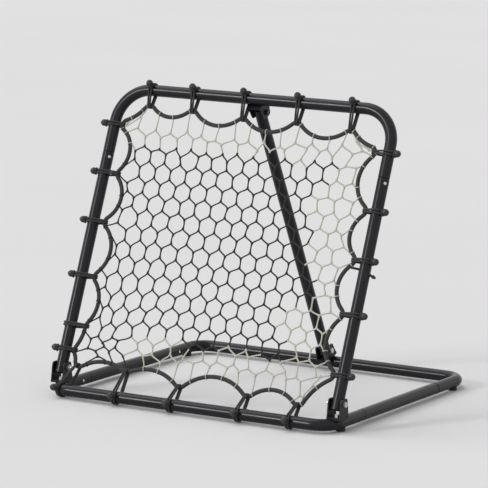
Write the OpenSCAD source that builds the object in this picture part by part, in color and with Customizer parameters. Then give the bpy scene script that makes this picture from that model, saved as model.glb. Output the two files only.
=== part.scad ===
// Pitch-back rebounder: a leaning net frame hinged on a flat base ring and
// held up by one rear prop. The net hangs inside the frame on a scalloped
// border cord, which elastic ball ties pull out to the tubes.
//
// Axes: X runs across the front, Y from front to back and Z up. The origin is
// on the ground, in the middle of the footprint.
//
// Moving pieces, all drawn in their place of use:
//   net frame  turns about the two hinge bolts at its feet
//   prop       turns about its bolt under the top bar, and its foot pin
//              lifts out of the open slots of the bracket on the rear bar
//   snaps      six spring buttons that slide in to let the tubes part

/* [Frame] */
// Width between the centre lines of the two side bars, and of the two legs
frame_w = 810; // [700:5:1000]
// Depth between the centre lines of the front and rear bars
ring_d = 712; // [600:2:900]
// Length of the net frame, from the base ring's centre plane to the top bar's
frame_len = 798; // [700:2:950]
// Lean of the net frame back from upright
lean = 21.9; // [16:0.1:28]
// Distance of the leaning plane behind the front bar, at the bar's own height
foot_y = 24; // [20:1:30]

/* [Tubes] */
// Outside diameter of every tube
tube_d = 30; // [26:1:34]
// Wall of every tube
tube_wall = 1.5; // [1.2:0.1:2]
// Bend radius of the base ring's corners, on the centre line
ring_bend = 50; // [40:1:58]
// Bend radius of the net frame's top corners, on the centre line
top_bend = 90; // [70:1:110]
// Length of each base half's stub, from the centre line of its cross bar
ring_stub = 160; // [130:2:200]
// Length of the top bow's stubs, from the centre line of the top bar
top_stub = 172; // [150:2:220]
// Length of a swaged tube end inside its socket
spigot_len = 58; // [50:1:65]
// Length of the taper between a tube and its swaged end
swage_taper = 2.5; // [2:0.5:4]
// Radial gap of a swaged end in its socket
spigot_gap = 0.15; // [0.1:0.05:0.3]
// Gap left between a socket's rim and the taper
seam_gap = 0.4; // [0.3:0.1:0.8]

/* [Snap buttons] */
// Diameter of a snap button
snap_d = 8; // [7:0.5:9]
// Height that a button stands out of the tube
snap_out = 2.3; // [1.5:0.1:2.6]
// Distance from a base seam back to the button
ring_snap_in = 38; // [34:1:44]
// Distance from a leg seam down to the button
leg_snap_in = 13; // [11:1:18]
// Turn of a leg's button from the front of the tube towards the right
leg_snap_turn = 50; // [0:5:90]

/* [Brackets and bolts] */
// Thickness of the bracket plate
plate_t = 3; // [2.5:0.5:4]
// Gap on each side of a tube between a bracket's ears
ear_gap = 0.5; // [0.3:0.1:1]
// Length of a bracket at its foot
ear_base = 46; // [42:1:52]
// Length of a bracket's ears at the top
ear_top = 34; // [32:1:40]
// Radius of an ear's top corners
ear_round = 9; // [5:1:12]
// Height that an ear stands past its pivot
ear_past = 14; // [12:1:18]
// Depth of the saddle that grips the tube's sides
saddle = 4; // [2:0.5:6]
// Height of the leg hinges above the ring's centre plane
hinge_h = 49; // [46:1:56]
// Distance of each prop pivot from the centre line of its bar
prop_pivot = 38; // [37:1:44]
// Length of a leg past its hinge bolt
leg_past = 16; // [13:1:17]
// Length of the prop tube past each of its pivots
prop_past = 9; // [8:0.5:10]
// Diameter of all bolts
bolt_d = 8; // [6:1:8]
// Radial clearance of a bolt in its hole
bolt_gap = 0.05; // [0.03:0.01:0.1]
// Clearance on each side of the prop's foot pin in its slot
slot_gap = 0.4; // [0.3:0.1:0.6]
// Width across the flats of bolt heads and nuts
hex_af = 13; // [12:0.5:14]
// Height of a bolt head
head_h = 5.3; // [4:0.1:5.5]
// Height of a nut
nut_h = 6.8; // [5:0.1:8]
// Length of thread that shows past a hinge nut
thread_end = 4; // [3:1:14]

/* [Feet] */
// Height that the rubber feet lift the ring off the ground
foot_h = 6; // [5:0.5:10]
// Diameter of a foot
foot_d = 24; // [20:1:28]
// Distance of each foot from the nearest cross bar's centre line
foot_in = 60; // [60:1:90]

/* [Net] */
// Cells across the net
net_cols = 15; // [12:1:16]
// Rows of cells up the net
net_rows = 16; // [12:2:16]
// Thickness of the net's twine
twine = 3.5; // [2:0.5:4]
// Diameter of the border cord
border_d = 9.5; // [7:0.5:10]
// Sag of the cord between two ties of the top or bottom, as a share of the gap
scallop = 0.2; // [0.12:0.01:0.24]
// Sag of the cord between two ties of a side, as a share of the gap
side_scallop = 0.24; // [0.12:0.01:0.26]
// Sag of the cord across a corner, as a share of the gap
corner_scallop = 0.08; // [0.06:0.01:0.12]
// Height of the net's bottom edge up the leaning plane
net_bottom = 38; // [34:1:46]

/* [Ball ties] */
// Diameter of the elastic cord of the ties
tie_d = 5; // [3:0.5:5]
// Distance between the two strands of a tie
tie_gap = 6; // [5:0.5:7]
// Diameter of the balls
ball_d = 18; // [16:1:24]
// Distance from the legs' centre lines to the border cord
side_reach = 33; // [30:1:45]
// Distance from the top bar's centre line to the border cord
top_reach = 50; // [40:1:60]
// Turn of the top balls from straight up towards the front
top_ball_turn = 65; // [0:5:80]
// Turn of the side balls from straight out towards the front
side_ball_turn = 15; // [0:5:60]
// Height of the front balls above the bar's front face, as an angle
front_ball_turn = 17; // [0:1:40]

/* [Hidden] */

$fn = 48;
FRAME_BLACK = "#2b2a2e";
ZINC = "#c9ccd1";
RUBBER_BLACK = "#161616";
CORD_BLACK = "#1b1b1d";
TWINE_BLACK = "#24241f";
eps = 0.01;

// Tubes and their joints
tube_r = tube_d / 2;
bore_r = tube_r - tube_wall;
spigot_r = bore_r - spigot_gap;
spigot_bore = spigot_r - tube_wall;
seam = swage_taper + seam_gap;
half_w = frame_w / 2;
ring_z = foot_h + tube_r;

// Brackets and bolts
bolt_r = bolt_d / 2;
hole_r = bolt_r + bolt_gap;
ear_in = tube_r + ear_gap;
ear_out = ear_in + plate_t;
hex_r = hex_af / sqrt(3);
leg_bolt_len = 2 * ear_out + nut_h + thread_end;
prop_bolt_len = 2 * ear_out + nut_h + 3;

// Leaning plane of the net frame
hinge_y = foot_y + hinge_h * tan(lean);
hinge_s = hinge_h / cos(lean);
leg_start = hinge_s - leg_past;
leg_end = frame_len - top_stub - seam;
top_y = foot_y + frame_len * sin(lean);
top_z = frame_len * cos(lean);

// Line of the prop, from the rear bar's centre line to the top bar's
prop_span = norm([ring_d - top_y, top_z]);
prop_lean = atan2(ring_d - top_y, top_z);

// Ball ties: the ball rests between its two strands
tie_r = tie_d / 2;
ball_r = ball_d / 2;
ball_h = tube_r + tie_r + sqrt(pow(ball_r + tie_r, 2) - pow(tie_gap / 2, 2)) + 0.05;

// Middle of the footprint, which is the origin
front_reach = ball_h * cos(front_ball_turn) + ball_r;
mid_y = (ring_d + tube_r - front_reach) / 2;

// Ties across the top and front bars and up the two legs, as [place, how much
// further in than the usual reach its loop holds the cord]. The places are
// measured from the middle or the foot, and by a bend from that bend's bar. The
// lowest but one on the left has its ball turned to the back
back_ball_turn = -58;
top_ties = [[95 - half_w, -11], [-180, -7], [-28, 2], [130, 0], [half_w - 118, 8]];
front_ties = [[-210, 22], [-48, 1], [150, 1], [half_w - 109, -4]];
left_ties = [
    [100, -7], [165, 12, back_ball_turn], [295, 5],
    [frame_len / 2 + 41, 0], [frame_len - 228, 7], [frame_len - 98, -10]
];
right_ties = [
    [122, -7], [274, 2],
    [frame_len / 2 + 13, 0], [frame_len - 260, -3], [frame_len - 110, 5]
];

// Corner tie of the net at the front left bend of the base ring
corner_turn = 25;
corner_hub = [-half_w + ring_bend, ring_bend];
corner_at = corner_hub - ring_bend * [sin(corner_turn), cos(corner_turn)];
corner_s = 58;
corner_y = foot_y + corner_s * sin(lean);
corner_x = corner_at.x + (corner_y - corner_at.y) * tan(corner_turn);

// Border cord, in the leaning plane. Its tie points are listed counter-
// clockwise as [x, height, way in to the net, sag of the stretch that follows]
border_r = border_d / 2;
side_x = half_w - side_reach;
top_s = frame_len - top_reach;
corner_in = 78;
low_sags = [0.15, scallop, scallop, corner_scallop];
top_sags = [scallop, scallop, scallop, scallop, corner_scallop];
side_sags = [side_scallop, side_scallop, side_scallop, side_scallop, corner_scallop];
left_sags = [side_scallop, side_scallop, side_scallop, scallop, 0.07, corner_scallop];
tie_pts = concat(
    [[corner_x, corner_s, corner_in, 0.14]],
    [for (i = [0:3]) [front_ties[i].x, net_bottom + front_ties[i].y, 90, low_sags[i]]],
    [for (i = [0:4]) [side_x - right_ties[i].y, right_ties[i].x, 180, side_sags[i]]],
    [for (i = [4:-1:0]) [top_ties[i].x, top_s - top_ties[i].y, 270, top_sags[4 - i]]],
    [for (i = [5:-1:0]) [left_ties[i].y - side_x, left_ties[i].x, 0, left_sags[5 - i]]]
);
n_arcs = len(tie_pts);
first_right = 5;
first_top = 10;
first_left = 15;

// The cord turns over each tie on a small arc round a hub, and sags from hub
// to hub on an arc that runs smoothly into both
turn_r = 14;
whip = 0.1;
loop_r = border_r + whip + 0.75 + tie_d / 2;
hubs = [for (p = tie_pts) [p.x, p.y] + turn_r * [cos(p[2]), sin(p[2])]];
// A sagging stretch as [centre, radius, half angle, direction of its middle]
function arc_of(a, b, share) = let (
    c = norm(b - a),
    h = share * c,
    r = (c * c / 4 + h * h) / (2 * h),
    n = [a.y - b.y, b.x - a.x] / c
) [(a + b) / 2 - n * (r - h), r - turn_r, asin(c / 2 / r), atan2(n.y, n.x)];
arcs = [for (i = [0:n_arcs - 1]) arc_of(hubs[i], hubs[(i + 1) % n_arcs], tie_pts[i][3])];
function on_circle(c, r, a) = c + r * [cos(a), sin(a)];
// Directions, seen from a hub, in which its small arc starts and ends
function hub_start(i) = let (a = arcs[(i + n_arcs - 1) % n_arcs]) a[3] - a[2] + 180;
function hub_sweep(i) = (arcs[i][3] + arcs[i][2] + 180 - hub_start(i) + 720) % 360;

// Outline of the cord's centre line, or of a line at a distance inside it
arc_steps = 8;
function stretch(i, d) = let (a = arcs[i]) [
    for (k = [0:arc_steps]) on_circle(a[0], a[1] + d, a[3] + a[2] * (1 - 2 * k / arc_steps))
];
function outline(d) = [
    for (i = [0:n_arcs - 1])
        each concat([on_circle(hubs[i], turn_r - d, hub_start(i) + hub_sweep(i) / 2)], stretch(i, d))
];

// Hexagonal lattice of the net, regular over a rectangle that runs half-way
// through the scallops. Its outermost meshes are drawn out to follow the cord
side_mean = side_x - side_scallop * (left_ties[5].x - left_ties[0].x) / 6;
low_mean = net_bottom + scallop * (front_ties[3].x - front_ties[0].x) / 4.5;
high_mean = top_s - scallop * (top_ties[4].x - top_ties[0].x) / 6;
net_w = 2 * side_mean;
net_h = high_mean - low_mean;
cell_w = net_w / net_cols;
cell_h = net_h / net_rows;
rim = border_r + twine;
ripple = 24;

// The cord along the four edges, as tables of [place, way from the rectangle]
function flipped(v) = [for (i = [len(v) - 1:-1:0]) v[i]];
function faded(v) = let (n = len(v) - 1) concat([[v[0].x - 2 * turn_r, 0]], v, [[v[n].x + 2 * turn_r, 0]]);
function edge_x(i0, i1, mean) = [for (i = [i0:i1]) for (p = stretch(i, 0)) [p.y, p.x - mean]];
function edge_y(i0, i1, mean) = [for (i = [i0:i1]) for (p = stretch(i, 0)) [p.x, p.y - mean]];
right_edge = faded(edge_x(first_right, first_top - 2, side_mean));
left_edge = faded(flipped(edge_x(first_left, n_arcs - 1, -side_mean)));
high_edge = faded(flipped(edge_y(first_top, first_left - 2, high_mean)));
low_edge = faded(edge_y(0, first_right - 2, low_mean));
function fade(d) = exp(-max(d - rim, 0) / ripple);
function warp(v) = v + [
    lookup(v.y, left_edge) * fade(v.x + side_mean) + lookup(v.y, right_edge) * fade(side_mean - v.x),
    lookup(v.x, high_edge) * fade(high_mean - v.y) + lookup(v.x, low_edge) * fade(v.y - low_mean)
];

// Lines that the meshes stop at, as [point, way in]: the rim of the
// rectangle, then the three corners that the cord cuts off
function corner_cut(i) = let (
    a = hubs[i],
    b = hubs[(i + 1) % n_arcs],
    n = [a.y - b.y, b.x - a.x] / norm(b - a)
) [a + n * (rim + tie_pts[i][3] * norm(b - a) - turn_r), n];
cuts = concat(
    [
        [[rim - side_mean, 0], [1, 0]], [[side_mean - rim, 0], [-1, 0]],
        [[0, low_mean + rim], [0, 1]], [[0, high_mean - rim], [0, -1]]
    ],
    [for (i = [first_right - 1, first_top - 1, first_left - 1]) corner_cut(i)]
);
// Part of an outline on the inner side of one of these lines
function clip(v, line) = [for (i = [0:len(v) - 1]) let (
    a = v[i],
    b = v[(i + 1) % len(v)],
    da = (a - line[0]) * line[1],
    db = (b - line[0]) * line[1]
) each concat(da >= 0 ? [a] : [], (da < 0) == (db < 0) ? [] : [a + (b - a) * da / (da - db)])];
function clip_all(v, k = 0) = k == len(cuts) || len(v) < 3 ? v : clip_all(clip(v, cuts[k]), k + 1);
// An outline with the long sides that it has along the rim cut in four
function on_rim(a, b) = norm(b - a) > cell_h / 4 && (abs(a.x - b.x) < eps || abs(a.y - b.y) < eps);
function divided(v) = [for (i = [0:len(v) - 1]) let (
    a = v[i],
    b = v[(i + 1) % len(v)]
) each (on_rim(a, b) ? [a, 0.75 * a + 0.25 * b, (a + b) / 2, 0.25 * a + 0.75 * b] : [a])];
// Twice the area of an outline
function area2(v) = [for (i = [0:len(v) - 1]) let (
    a = v[i],
    b = v[(i + 1) % len(v)]
) a.x * b.y - a.y * b.x] * [for (i = v) 1];
// Corners of one pointed cell, as shares of the cell's pitch
HEX = [[0, 2 / 3], [-1 / 2, 1 / 3], [-1 / 2, -1 / 3], [0, -2 / 3], [1 / 2, -1 / 3], [1 / 2, 1 / 3]];
open_share = 1 - twine / cell_w;
function hex_cell(c) = [for (h = HEX) c + open_share * [h.x * cell_w, h.y * cell_h]];
// Opening of one cell, cut off at the net's rim and drawn to shape
function opening(c) = let (
    whole = hex_cell(c),
    part = clip_all(whole)
) [for (p = part == whole ? whole : divided(part)) warp(p)];
openings = [
    for (r = [0:net_rows - 1])
        for (c = [0:net_cols - 1 + r % 2])
            opening([(c + 0.5 - (r % 2) / 2) * cell_w - side_mean, low_mean + (r + 0.5) * cell_h])
];
least_opening = 100;
tie_window = norm([tie_gap / 2 + tie_r, loop_r + tie_r]) + 0.3;

// ---------------------------------------------------------------- frames --

// Places children in the row frame, from coordinates that start at the
// centre line of the front bar
module from_front() {
    translate([0, -mid_y, ring_z]) children();
}

// Leaning plane: x across, y up along the legs, z out of the front of the net
module in_frame() {
    from_front() translate([0, foot_y, 0]) rotate([90 - lean, 0, 0]) children();
}

// Line of the prop: z runs from the rear bar's centre line to the top bar's
module on_prop() {
    from_front() translate([0, ring_d, 0]) rotate([prop_lean, 0, 0]) children();
}

// ----------------------------------------------------------------- tubes --

module tube_ring(r = tube_r, wall = tube_wall) {
    difference() {
        circle(r);
        if (wall > 0) circle(r - wall);
    }
}

// Straight tube along +Z
module pipe(len, wall = tube_wall) {
    linear_extrude(len) tube_ring(tube_r, wall);
}

// Tube bent to a U: a cross bar along X and two stubs along +Y. A wall of 0
// makes the solid rod that saddles are cut with
module bow(stub, bend, wall = tube_wall) {
    translate([-half_w + bend, 0, 0]) rotate([0, 90, 0]) pipe(frame_w - 2 * bend, wall);
    for (m = [0, 1]) mirror([m, 0, 0]) {
        translate([half_w - bend, bend, 0]) rotate([0, 0, -90]) rotate_extrude(angle = 90)
            translate([bend, 0]) tube_ring(tube_r, wall);
        translate([half_w, bend, 0]) rotate([-90, 0, 0]) pipe(stub - bend, wall);
    }
}

// Swaged end along +Z: the taper and the spigot that goes into the next tube
module swaged_end() {
    tip = swage_taper + spigot_len;
    rotate_extrude() polygon([
        [tube_r, 0], [spigot_r, swage_taper], [spigot_r, tip],
        [spigot_bore, tip], [spigot_bore, swage_taper], [bore_r, 0]
    ]);
}

// Round hole from the centre line out through one wall, along +Z
module wall_hole(r) {
    cylinder(r = r, h = tube_d);
}

// Half of the base ring, with its holes for feet and snap buttons
module base_half() {
    difference() {
        bow(ring_stub, ring_bend);
        for (m = [0, 1]) mirror([m, 0, 0]) {
            translate([half_w, foot_in, 0]) rotate([180, 0, 0]) wall_hole(stem_r + 0.03);
            translate([half_w, ring_stub - ring_snap_in, 0]) rotate([0, -90, 0]) wall_hole(snap_hole_r);
        }
    }
}

module base_front_u() {
    color(FRAME_BLACK) from_front() difference() {
        base_half();
        for (x = [-half_w, half_w]) translate([x, hinge_y, 0]) wall_hole(hole_r);
    }
}

module base_rear_u() {
    color(FRAME_BLACK) difference() {
        from_front() translate([0, ring_d, 0]) rotate([0, 0, 180]) base_half();
        on_prop() wall_hole(hole_r);
    }
}

// Side tube of the base ring, swaged at both ends
module base_side(side) {
    body = ring_d - 2 * (ring_stub + seam);
    color(FRAME_BLACK) from_front() translate([side * half_w, ring_d / 2, 0]) difference() {
        union() {
            translate([0, -body / 2, 0]) rotate([-90, 0, 0]) pipe(body);
            for (a = [-90, 90]) rotate([a, 0, 0]) translate([0, 0, body / 2]) swaged_end();
        }
        for (d = [-1, 1]) translate([0, d * (ring_d / 2 - ring_stub + ring_snap_in), 0])
            rotate([0, -90 * side, 0]) wall_hole(snap_hole_r);
    }
}

module base_side_left() {
    base_side(-1);
}

module base_side_right() {
    base_side(1);
}

// Turn of a leg's button about the leg, in the leaning plane's own axes
module at_leg_snap(side) {
    translate([side * half_w, leg_end - leg_snap_in, 0]) rotate([0, leg_snap_turn, 0]) children();
}

module top_u() {
    color(FRAME_BLACK) in_frame() difference() {
        union() {
            translate([0, frame_len, 0]) rotate([0, 0, 180]) bow(top_stub, top_bend);
            for (x = [-half_w, half_w]) translate([x, frame_len - top_stub, 0])
                rotate([90, 0, 0]) swaged_end();
        }
        for (side = [-1, 1]) at_leg_snap(side) wall_hole(snap_hole_r);
    }
}

module leg(side) {
    color(FRAME_BLACK) in_frame() difference() {
        translate([side * half_w, leg_start, 0]) rotate([-90, 0, 0]) pipe(leg_end - leg_start);
        translate([side * half_w, hinge_s, 0]) rotate([0, 90, 0])
            cylinder(r = hole_r, h = 2 * tube_d, center = true);
        at_leg_snap(side) wall_hole(snap_hole_r);
    }
}

module leg_left() {
    leg(-1);
}

module leg_right() {
    leg(1);
}

// -------------------------------------------------------------- brackets --

// Side view of an ear, wider at its foot and round at its top corners
module ear_outline(height) {
    foot = tube_r - saddle;
    polygon([
        [-ear_base / 2, foot], [ear_base / 2, foot],
        [ear_top / 2, height - ear_round], [ear_top / 2 - ear_round, height],
        [ear_round - ear_top / 2, height], [-ear_top / 2, height - ear_round]
    ]);
    for (x = [-1, 1]) translate([x * (ear_top / 2 - ear_round), height - ear_round]) circle(ear_round);
}

// Folded bracket that straddles a tube on the centre line of another one: its
// foot plate lies on the tube and its two ears hold the pivot
module bracket(pivot, hole_to = 0, fixed = true) {
    difference() {
        union() {
            translate([-ear_out, -ear_base / 2, tube_r - saddle])
                cube([2 * ear_out, ear_base, saddle + plate_t]);
            for (x = [-ear_out, ear_in]) translate([x, 0, 0]) rotate([90, 0, 90])
                linear_extrude(plate_t) ear_outline(pivot + ear_past);
        }
        translate([0, 0, pivot]) rotate([0, 90, 0]) cylinder(r = hole_r, h = 3 * ear_out, center = true);
        if (fixed) cylinder(r = hole_r, h = pivot);
    }
}

// Leg bracket, fitted over the bend of the base ring
module leg_bracket(side) {
    color(FRAME_BLACK) from_front() difference() {
        translate([side * half_w, hinge_y, 0]) bracket(hinge_h);
        bow(ring_stub, ring_bend, 0);
    }
}

module bracket_left() {
    leg_bracket(-1);
}

module bracket_right() {
    leg_bracket(1);
}

// Bar that a prop bracket sits on, as a rod
module bar_rod() {
    rotate([0, 90, 0]) cylinder(r = tube_r, h = 4 * ear_out, center = true);
}

// Foot bracket of the prop. Its pivot holes run out into slots along the
// prop, so that the foot pin can be lifted out
module bracket_prop() {
    slot_r = bolt_r + slot_gap;
    color(FRAME_BLACK) on_prop() difference() {
        bracket(prop_pivot);
        translate([0, 0, prop_pivot]) rotate([0, 90, 0]) cylinder(r = slot_r, h = 3 * ear_out, center = true);
        translate([-1.5 * ear_out, -slot_r, prop_pivot]) cube([3 * ear_out, 2 * slot_r, ear_past + 1]);
        bar_rod();
    }
}

module bracket_top() {
    color(FRAME_BLACK) on_prop() translate([0, 0, prop_span]) rotate([180, 0, 0]) difference() {
        bracket(prop_pivot, fixed = false);
        bar_rod();
    }
}

// ----------------------------------------------------------------- bolts --

// Hexagon bolt: the head stands on z = 0 and the shank goes down
module hex_bolt(len) {
    cylinder(r = hex_r, h = head_h, $fn = 6);
    translate([0, 0, -len]) cylinder(r = bolt_r, h = len + eps);
}

// Hexagon nut on a bolt of the given length, against the far ear
module hex_nut(grip) {
    translate([0, 0, -grip - nut_h]) difference() {
        cylinder(r = hex_r, h = nut_h, $fn = 6);
        translate([0, 0, -1]) cylinder(r = bolt_r, h = nut_h + 2);
    }
}

// Bolt head's seat on the outer face of an ear, looking out along +X or -X
seat_play = 0.1;
pin_play = 0.3;
module cross_bolt_at(out = 1, play = seat_play) {
    translate([out * (ear_out + play), 0, 0]) rotate([0, out * 90, 0]) children();
}

module at_hinge(side) {
    from_front() translate([side * half_w, hinge_y, hinge_h]) cross_bolt_at(side) children();
}

module hinge_bolt_left() {
    color(ZINC) at_hinge(-1) hex_bolt(leg_bolt_len);
}

module hinge_bolt_right() {
    color(ZINC) at_hinge(1) hex_bolt(leg_bolt_len);
}

grip = 2 * (ear_out + seat_play);
pin_grip = 2 * (ear_out + pin_play);

module hinge_nut_left() {
    color(ZINC) at_hinge(-1) hex_nut(grip);
}

module hinge_nut_right() {
    color(ZINC) at_hinge(1) hex_nut(grip);
}

// Short bolt that holds a bracket's foot plate to the tube
module plate_bolt() {
    translate([0, 0, tube_r + plate_t]) hex_bolt(plate_t + 8);
}

module bracket_bolt_left() {
    color(ZINC) from_front() translate([-half_w, hinge_y, 0]) plate_bolt();
}

module bracket_bolt_right() {
    color(ZINC) from_front() translate([half_w, hinge_y, 0]) plate_bolt();
}

module bracket_bolt_prop() {
    color(ZINC) on_prop() plate_bolt();
}

module prop_bolt() {
    color(ZINC) on_prop() translate([0, 0, prop_span - prop_pivot]) cross_bolt_at() hex_bolt(prop_bolt_len);
}

module prop_nut() {
    color(ZINC) on_prop() translate([0, 0, prop_span - prop_pivot]) cross_bolt_at() hex_nut(grip);
}

module at_pin() {
    on_prop() translate([0, 0, prop_pivot]) cross_bolt_at(1, pin_play) children();
}

module prop_pin() {
    color(ZINC) at_pin() hex_bolt(prop_bolt_len);
}

module prop_pin_nut() {
    color(ZINC) at_pin() hex_nut(pin_grip);
}

// ------------------------------------------------------------------ prop --

module prop_tube() {
    start = prop_pivot - prop_past;
    color(FRAME_BLACK) on_prop() difference() {
        translate([0, 0, start]) pipe(prop_span - 2 * start);
        for (z = [prop_pivot, prop_span - prop_pivot]) translate([0, 0, z]) rotate([0, 90, 0])
            cylinder(r = hole_r, h = 2 * tube_d, center = true);
    }
}

// ------------------------------------------------------------------ feet --

// Push-in rubber foot: the saddle under the tube and the barbed stem in it
stem_r = 4;
barb_r = stem_r + 1.2;
barb_z = ring_z - sqrt(pow(bore_r, 2) - pow(barb_r, 2)) + 0.1;
module foot(side, y) {
    color(RUBBER_BLACK) from_front() translate([side * half_w, y, -ring_z]) {
        difference() {
            cylinder(d = foot_d, h = foot_h + 4);
            translate([0, 0, ring_z]) rotate([90, 0, 0]) cylinder(r = tube_r, h = 2 * foot_d, center = true);
        }
        translate([0, 0, foot_h - 1]) cylinder(r = stem_r, h = barb_z - foot_h + 1.2);
        translate([0, 0, barb_z]) cylinder(r1 = barb_r, r2 = stem_r - 1.5, h = 4);
    }
}

module foot_front_left() {
    foot(-1, foot_in);
}

module foot_front_right() {
    foot(1, foot_in);
}

module foot_rear_left() {
    foot(-1, ring_d - foot_in);
}

module foot_rear_right() {
    foot(1, ring_d - foot_in);
}

// ---------------------------------------------------------- snap buttons --

// Spring snap in a tube along X, its button pointing along +Z: a domed button
// with a flange, riveted to a leaf that is folded back to a V
snap_r = snap_d / 2;
snap_hole_r = snap_r + 0.25;
snap_dome = 6;
leaf_len = 26;
leaf_t = 0.8;
leaf_w = 7;
flange_r = 5;
flange_top = sqrt(pow(spigot_bore, 2) - pow(flange_r, 2)) - 0.2;
leaf_top = flange_top - 1;
leaf_fold = 3;
leaf_drop = spigot_bore - 5.8;
module snap() {
    top = tube_r + snap_out;
    // Button
    rotate_extrude() intersection() {
        translate([0, leaf_top - eps]) square([snap_r, top - leaf_top + 1]);
        translate([0, top - snap_dome]) circle(snap_dome);
    }
    rotate_extrude() translate([0, leaf_top - eps]) square([snap_r, top - snap_dome - leaf_top + 1]);
    translate([0, 0, leaf_top - eps]) cylinder(r = flange_r, h = 1 + eps);
    // Leaf
    rotate([90, 0, 0]) linear_extrude(leaf_w, center = true) leaf_outline();
}

module leaf_outline() {
    translate([-flange_r, leaf_top - leaf_t]) square([leaf_len + flange_r, leaf_t]);
    translate([leaf_len, leaf_top - leaf_fold]) difference() {
        circle(leaf_fold);
        circle(leaf_fold - leaf_t);
        translate([-2 * leaf_fold, -leaf_fold]) square([2 * leaf_fold, 2 * leaf_fold]);
    }
    slope = atan2(leaf_top - 2 * leaf_fold + leaf_t + leaf_drop, leaf_len + flange_r);
    translate([leaf_len + 0.2, leaf_top - 2 * leaf_fold]) rotate(180 + slope)
        translate([0, -leaf_t]) square([leaf_len, leaf_t]);
}

// Button of the base ring: inwards, with the leaf towards the side tube
module ring_snap(side, back) {
    y = back ? ring_d - ring_stub + ring_snap_in : ring_stub - ring_snap_in;
    color(ZINC) from_front() translate([side * half_w, y, 0])
        rotate([0, -90 * side, 0]) rotate([0, 0, back ? -90 : 90]) snap();
}

module snap_front_left() {
    ring_snap(-1, false);
}

module snap_front_right() {
    ring_snap(1, false);
}

module snap_rear_left() {
    ring_snap(-1, true);
}

module snap_rear_right() {
    ring_snap(1, true);
}

module snap_leg_left() {
    color(ZINC) in_frame() at_leg_snap(-1) rotate([0, 0, 90]) snap();
}

module snap_leg_right() {
    color(ZINC) in_frame() at_leg_snap(1) rotate([0, 0, 90]) snap();
}

// ------------------------------------------------------------------- net --

// Net of pointed six-sided meshes in the leaning plane, with room at each tie
// for the loops that go round the cord, and along the short stretch that the
// corner tie makes at the net's lower left
module net() {
    color(TWINE_BLACK) in_frame() linear_extrude(twine, center = true) difference() {
        polygon(outline(border_r - 0.4));
        for (v = openings) if (len(v) > 2 && area2(v) > least_opening) polygon(v);
        for (p = tie_pts) translate([p.x, p.y]) circle(tie_window);
        translate([corner_x, corner_s]) circle(tie_window + 4);
        polygon(concat(stretch(n_arcs - 1, 0), flipped(stretch(n_arcs - 1, rim + 4))));
    }
}

// Arc of cord in the XY plane, between two angles
module cord_arc(r, from, sweep, cord_r) {
    rotate([0, 0, from]) rotate_extrude(angle = sweep) translate([r, 0]) circle(cord_r);
}

// Border cord: the sagging stretches, and a whipped turn over each tie
module border_cord() {
    lap = 3;
    color(CORD_BLACK) in_frame() for (i = [0:n_arcs - 1]) {
        a = arcs[i];
        translate([a[0].x, a[0].y, 0]) cord_arc(a[1], a[3] - a[2], 2 * a[2], border_r);
        translate([hubs[i].x, hubs[i].y, 0])
            cord_arc(turn_r, hub_start(i) - lap, hub_sweep(i) + 2 * lap, border_r + whip);
    }
    color(CORD_BLACK) on_leg(1, [tail_s, 0]) tail();
}

// Tied-off end of the border cord: from the cord behind the right leg, part of
// the way round it, and a short stub
tail_s = 393;
tail_reach = 40;
tail_r = 3;
tail_stub = 24;
tail_to = 122;
module tail() {
    r1 = tube_r + tail_r + 0.05;
    turn = acos(r1 / tail_reach);
    cord_arc(r1, turn, tail_to - turn, tail_r - 0.1);
    rotate([0, 0, turn]) translate([r1, 0.5, 0]) rotate([90, 0, 0])
        cylinder(r = tail_r, h = sqrt(pow(tail_reach, 2) - pow(r1, 2)) + 0.5);
    rotate([0, 0, tail_to]) translate([r1, -0.5, 0]) rotate([-90, 0, 0])
        cylinder(r = tail_r, h = tail_stub);
}

// ------------------------------------------------------------- ball ties --

// One strand of a tie, in the plane across the tube: round the tube at the
// origin and round the border cord at a distance along +X. Its two straight
// runs are a hair thicker, so that they lap over the ends of the bends
module strand(reach, loop) {
    lap = 0.5;
    bend_r = tie_r - 0.1;
    r1 = tube_r + tie_r;
    turn = acos((r1 - loop) / reach);
    run = sqrt(pow(reach, 2) - pow(r1 - loop, 2));
    cord_arc(r1, turn, 360 - 2 * turn, bend_r);
    translate([reach, 0, 0]) cord_arc(loop, -turn, 2 * turn, bend_r);
    for (m = [0, 1]) mirror([0, m, 0]) rotate([0, 0, turn]) translate([r1, lap, 0])
        rotate([90, 0, 0]) cylinder(r = tie_r, h = run + 2 * lap);
}

// Both strands of a tie
module tie(reach, loop = loop_r) {
    for (z = [-tie_gap / 2, tie_gap / 2]) translate([0, 0, z]) strand(reach, loop);
}

// Ball of a tie, at an angle round the tube from the border cord's side
module ball(angle) {
    rotate([0, 0, angle]) translate([ball_h, 0, 0]) sphere(ball_r);
}

// Tie axes on the top bar: +X down to the net and +Z along the bar
module on_top_bar(tie) {
    in_frame() translate([tie.x, frame_len, 0]) rotate([-90, 0, 0]) rotate([0, 90, 0]) children();
}

// Tie axes on a leg: +X in to the net and +Z up the leg
module on_leg(side, tie) {
    in_frame() mirror([side > 0 ? 1 : 0, 0, 0]) translate([-half_w, tie.x, 0])
        rotate([-90, 0, 0]) children();
}

// Tie axes on the front bar: +X up to the net's edge and +Z along the bar
function front_way(tie) = let (s = net_bottom + tie.y) [foot_y + s * sin(lean), s * cos(lean)];
function front_rise(tie) = atan2(front_way(tie).y, front_way(tie).x);
module on_front_bar(tie) {
    from_front() translate([tie.x, 0, 0]) rotate([90, 0, 90]) rotate([0, 0, front_rise(tie)]) children();
}

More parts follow.
